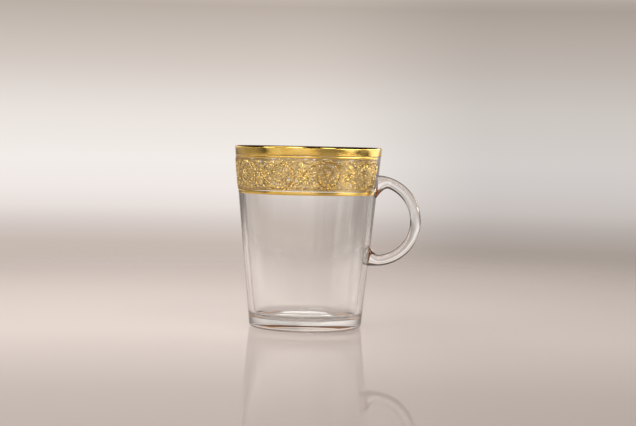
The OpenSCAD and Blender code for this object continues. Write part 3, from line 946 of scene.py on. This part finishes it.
# stage
stage = dict(
    rings=[60, 140, 240, 340, 440, 521, 566, 611], sides=96, drop=-0.02, fade=330, ior=1.5,
    floor=(0.46, 0.41, 0.39), floorRough=0.012, matte=0.5,
    # sky as screen colours by the sine of its height: what the camera sees straight on, then what the floor mirrors
    sky=[(-0.30, 199, 187, 178), (-0.066, 199, 186, 177), (-0.0535, 213, 202, 197),
         (-0.043, 232, 223, 218), (-0.030, 240, 233, 230), (-0.012, 243, 237, 233),
         (0.018, 233, 226, 220), (0.048, 212, 202, 195), (0.0865, 186, 174, 164),
         (0.102, 222, 211, 202), (0.122, 268, 254, 244), (0.139, 250, 237, 228),
         (0.157, 222, 210, 201), (0.20, 218, 206, 197), (0.28, 112, 100, 91),
         (0.40, 72, 62, 54), (0.62, 60, 52, 46), (0.90, 96, 87, 79)],
    skyLow=-0.30, skyHigh=0.90, skyGain=1.4,
    # darker to the right behind the mug, by height, darker to the front, darker low at both sides
    rightDrop=(0.31, 0.19, 0.30), dropSpans=[(-0.07, 0.09), (0.09, 0.13)], sideLow=0.22, lowDrop=0.72,
    # soft lights around the front: turn to the right of the camera's side, height, where they begin and are
    # full, strength. The glows are cut to two bands of height.
    glows=[(-28, 12, 47, 36, 3.8), (33, 12, 50, 25, 1.1), (69, 12, 25, 14, 9.6), (96, 12, 24, 8, 3.6),
           (128, 12, 30, 18, 7.0), (-112, 12, 46, 20, 1.6)],
    spots=[(-28, 52, 11, 7, 6.4), (40, 48, 11, 7, 5.4), (-75, 40, 11, 7, 4.4)], upperBand=(0.165, 0.2, 0.245, 0.3),
    lowerBand=(-0.25, -0.2, 0.03, 0.06), glowLow=0.2, glowTint=(1.0, 0.955, 0.91), throughDrop=0.94,
)


def buildTable():
    sides, drop, radius = stage["sides"], stage["drop"], stage["rings"][-1]
    turns = np.arange(sides) * 360 / sides
    points = [(0, 0, drop)] + [tuple(p) for r in stage["rings"] for p in spun([(r, drop)], turns)[:, 0]]
    faces = [(0, 1 + k, 1 + (k + 1) % sides) for k in range(sides)]
    floor = newPiece("table_top", points, faces + skin(len(stage["rings"]), sides, start=1))
    finish, paint = newFinish("table_gloss")
    place = paint.add("TexCoord", out="Object")
    gone = place.fromAxis().rise((radius - stage["fade"]) * mm, radius * mm)
    surface = paint.add("BsdfPrincipled", {
        "Base Color": stage["floor"],
        "Roughness": stage["floorRough"] + 0.03 * place.noise(9.0, 3.0),
        "IOR": stage["ior"],
    })
    # half matte, so that it mirrors only faintly, and faded out at its rim
    matte = paint.add("BsdfDiffuse", {"Color": stage["floor"]})
    surface = paint.add("MixShader", {0: stage["matte"], 1: surface, 2: matte})
    surface = paint.add("MixShader", {0: gone, 1: surface, 2: seeThrough(paint, (1, 1, 1))})
    paint.add("OutputMaterial", {"Surface": surface})
    floor.data.materials.append(finish)


def buildSky():
    world = bpy.data.worlds.new("studio")
    bpy.context.scene.world = world
    world.use_nodes = True
    world.node_tree.nodes.clear()
    sky = Wire(world.node_tree)
    aim = sky.add("TexCoord", out="Generated")
    x, y, z = aim.axes()
    low, gain = stage["skyLow"], stage["skyGain"]
    span = stage["skyHigh"] - low
    stops = [((s - low) / span, [v / gain for v in shade(*screen)]) for s, *screen in stage["sky"]]
    tint = sky.add("ValToRGB", {0: (z - low) / span}, stops=stops)
    drop = stage["rightDrop"][0]
    for before, after, dropSpan in zip(stage["rightDrop"], stage["rightDrop"][1:], stage["dropSpans"]):
        drop = drop + (after - before) * z.rise(*dropSpan)
    right = 1 - x.rise(-0.085, 0.05) * y.rise(0.0, 0.3) * drop
    side = stage["sideLow"] + (1 - stage["sideLow"]) * y.rise(0.35, 0.9)
    dim = 1 - stage["lowDrop"] * (1 - z.rise(-0.03, 0.0)) * (x * x).rise(0.08, 0.2)
    back = sky.add("Background", {"Color": tint, "Strength": right * side * dim * gain})

    def lights(listed):
        light = 0
        for turn, lift, begin, full, strength in listed:
            a, e = radians(turn + shot["turn"]), radians(lift)
            axis = (sin(a) * cos(e), -cos(a) * cos(e), sin(e))
            near = sky.add("VectorMath", {0: aim, 1: axis}, "Value", operation="DOT_PRODUCT")
            light = light + strength * near.rise(*(cos(radians(v)) for v in (begin, full)))
        return light

    bands = z.band(*stage["upperBand"]) + stage["glowLow"] * z.band(*stage["lowerBand"])
    light = lights(stage["glows"]) * bands + lights(stage["spots"])
    # the gold mirrors these lights, the clear glass hardly shows them
    mirrored, passed = (sky.add("LightPath", out=n) for n in ("Is Glossy Ray", "Transmission Depth"))
    through = mirrored * passed.rise(0.2, 0.8)
    front = sky.add("Background", {
        "Color": stage["glowTint"], "Strength": light * (1 - stage["throughDrop"] * through)})
    both = sky.add("AddShader", {0: back, 1: front})
    sky.add("OutputWorld", {"Surface": both})


lampTint = (1.0, 0.97, 0.94)
lamps = [
    # name, place, aim, width, height, watts, spread, whether it is seen in mirrors and through glass
    ("ceiling", (0, 330, 800), (0, 330, 0), 520, 420, 1.9, 180, False, True),
    ("left_wide", (-430, 330, 820), (-430, 330, 0), 1100, 700, 3.0, 180, False, False),
    ("foot_pool", (-25, -165, 420), (0, -38, 0), 60, 40, 0.0052, 18, False, False),
    ("near_pool", (-135, 90, 330), (-135, 90, 0), 260, 260, 0.58, 180, False, False),
    ("front_card", (-100, -560, 220), (-100, -560, 0), 900, 160, 0.28, 180, True, False),
    ("front_top", (-230, -140, 700), (-230, -140, 0), 380, 280, 1.0, 180, True, False),
    ("rear_right", (520, 640, 620), (0, 0, 90), 350, 300, 1.0, 180, False, False),
]


def aimed(at, ahead):
    return Matrix.Translation(at) @ ahead.to_track_quat("-Z", "Y").to_matrix().to_4x4()


def buildLamps():
    for name, place, aim, wide, high, watts, spread, mirrored, through in lamps:
        light = bpy.data.lights.new(name, "AREA")
        light.shape = "RECTANGLE"
        light.size, light.size_y = wide * mm, high * mm
        light.energy, light.color, light.spread = watts, lampTint, radians(spread)
        lamp = bpy.data.objects.new(name, light)
        at = Vector(place) * mm
        lamp.matrix_world = aimed(at, Vector(aim) * mm - at)
        lamp.visible_camera, lamp.visible_glossy, lamp.visible_transmission = False, mirrored, through
        bpy.context.scene.collection.objects.link(lamp)


# camera: focal length and width in pixels of the picture, angles in degrees
shot = {"distance": 800, "height": 94.4, "turn": 4.0, "focal": 1570, "wide": 636, "pitch": 2.59, "aside": 0.395,
        "roll": 1.2, "sensor": 36, "nearest": 0.01, "farthest": 50}


def buildCamera():
    turn, aside, tilt = (radians(shot[k]) for k in ("turn", "aside", "pitch"))
    ahead = Vector((-sin(turn - aside), cos(turn - aside), -tan(tilt))).normalized()
    eye = bpy.data.cameras.new("view")
    eye.sensor_fit, eye.sensor_width = "HORIZONTAL", shot["sensor"]
    eye.lens = shot["sensor"] * shot["focal"] / shot["wide"]
    eye.clip_start, eye.clip_end = shot["nearest"], shot["farthest"]
    camera = bpy.data.objects.new("view", eye)
    at = Vector((sin(turn) * shot["distance"], -cos(turn) * shot["distance"], shot["height"])) * mm
    camera.matrix_world = aimed(at, ahead) @ Matrix.Rotation(radians(shot["roll"]), 4, "Z")
    bpy.context.scene.collection.objects.link(camera)
    bpy.context.scene.camera = camera


buildTable()
buildSky()
buildLamps()
buildCamera()
scene = bpy.context.scene
scene.view_settings.view_transform = "Standard"
scene.view_settings.look = "None"
scene.cycles.max_bounces = 64
scene.cycles.transmission_bounces = 64
scene.cycles.glossy_bounces = 48
scene.cycles.transparent_max_bounces = 24
scene.cycles.caustics_reflective = False
scene.cycles.caustics_refractive = False
print("stage, lamps and camera ready")
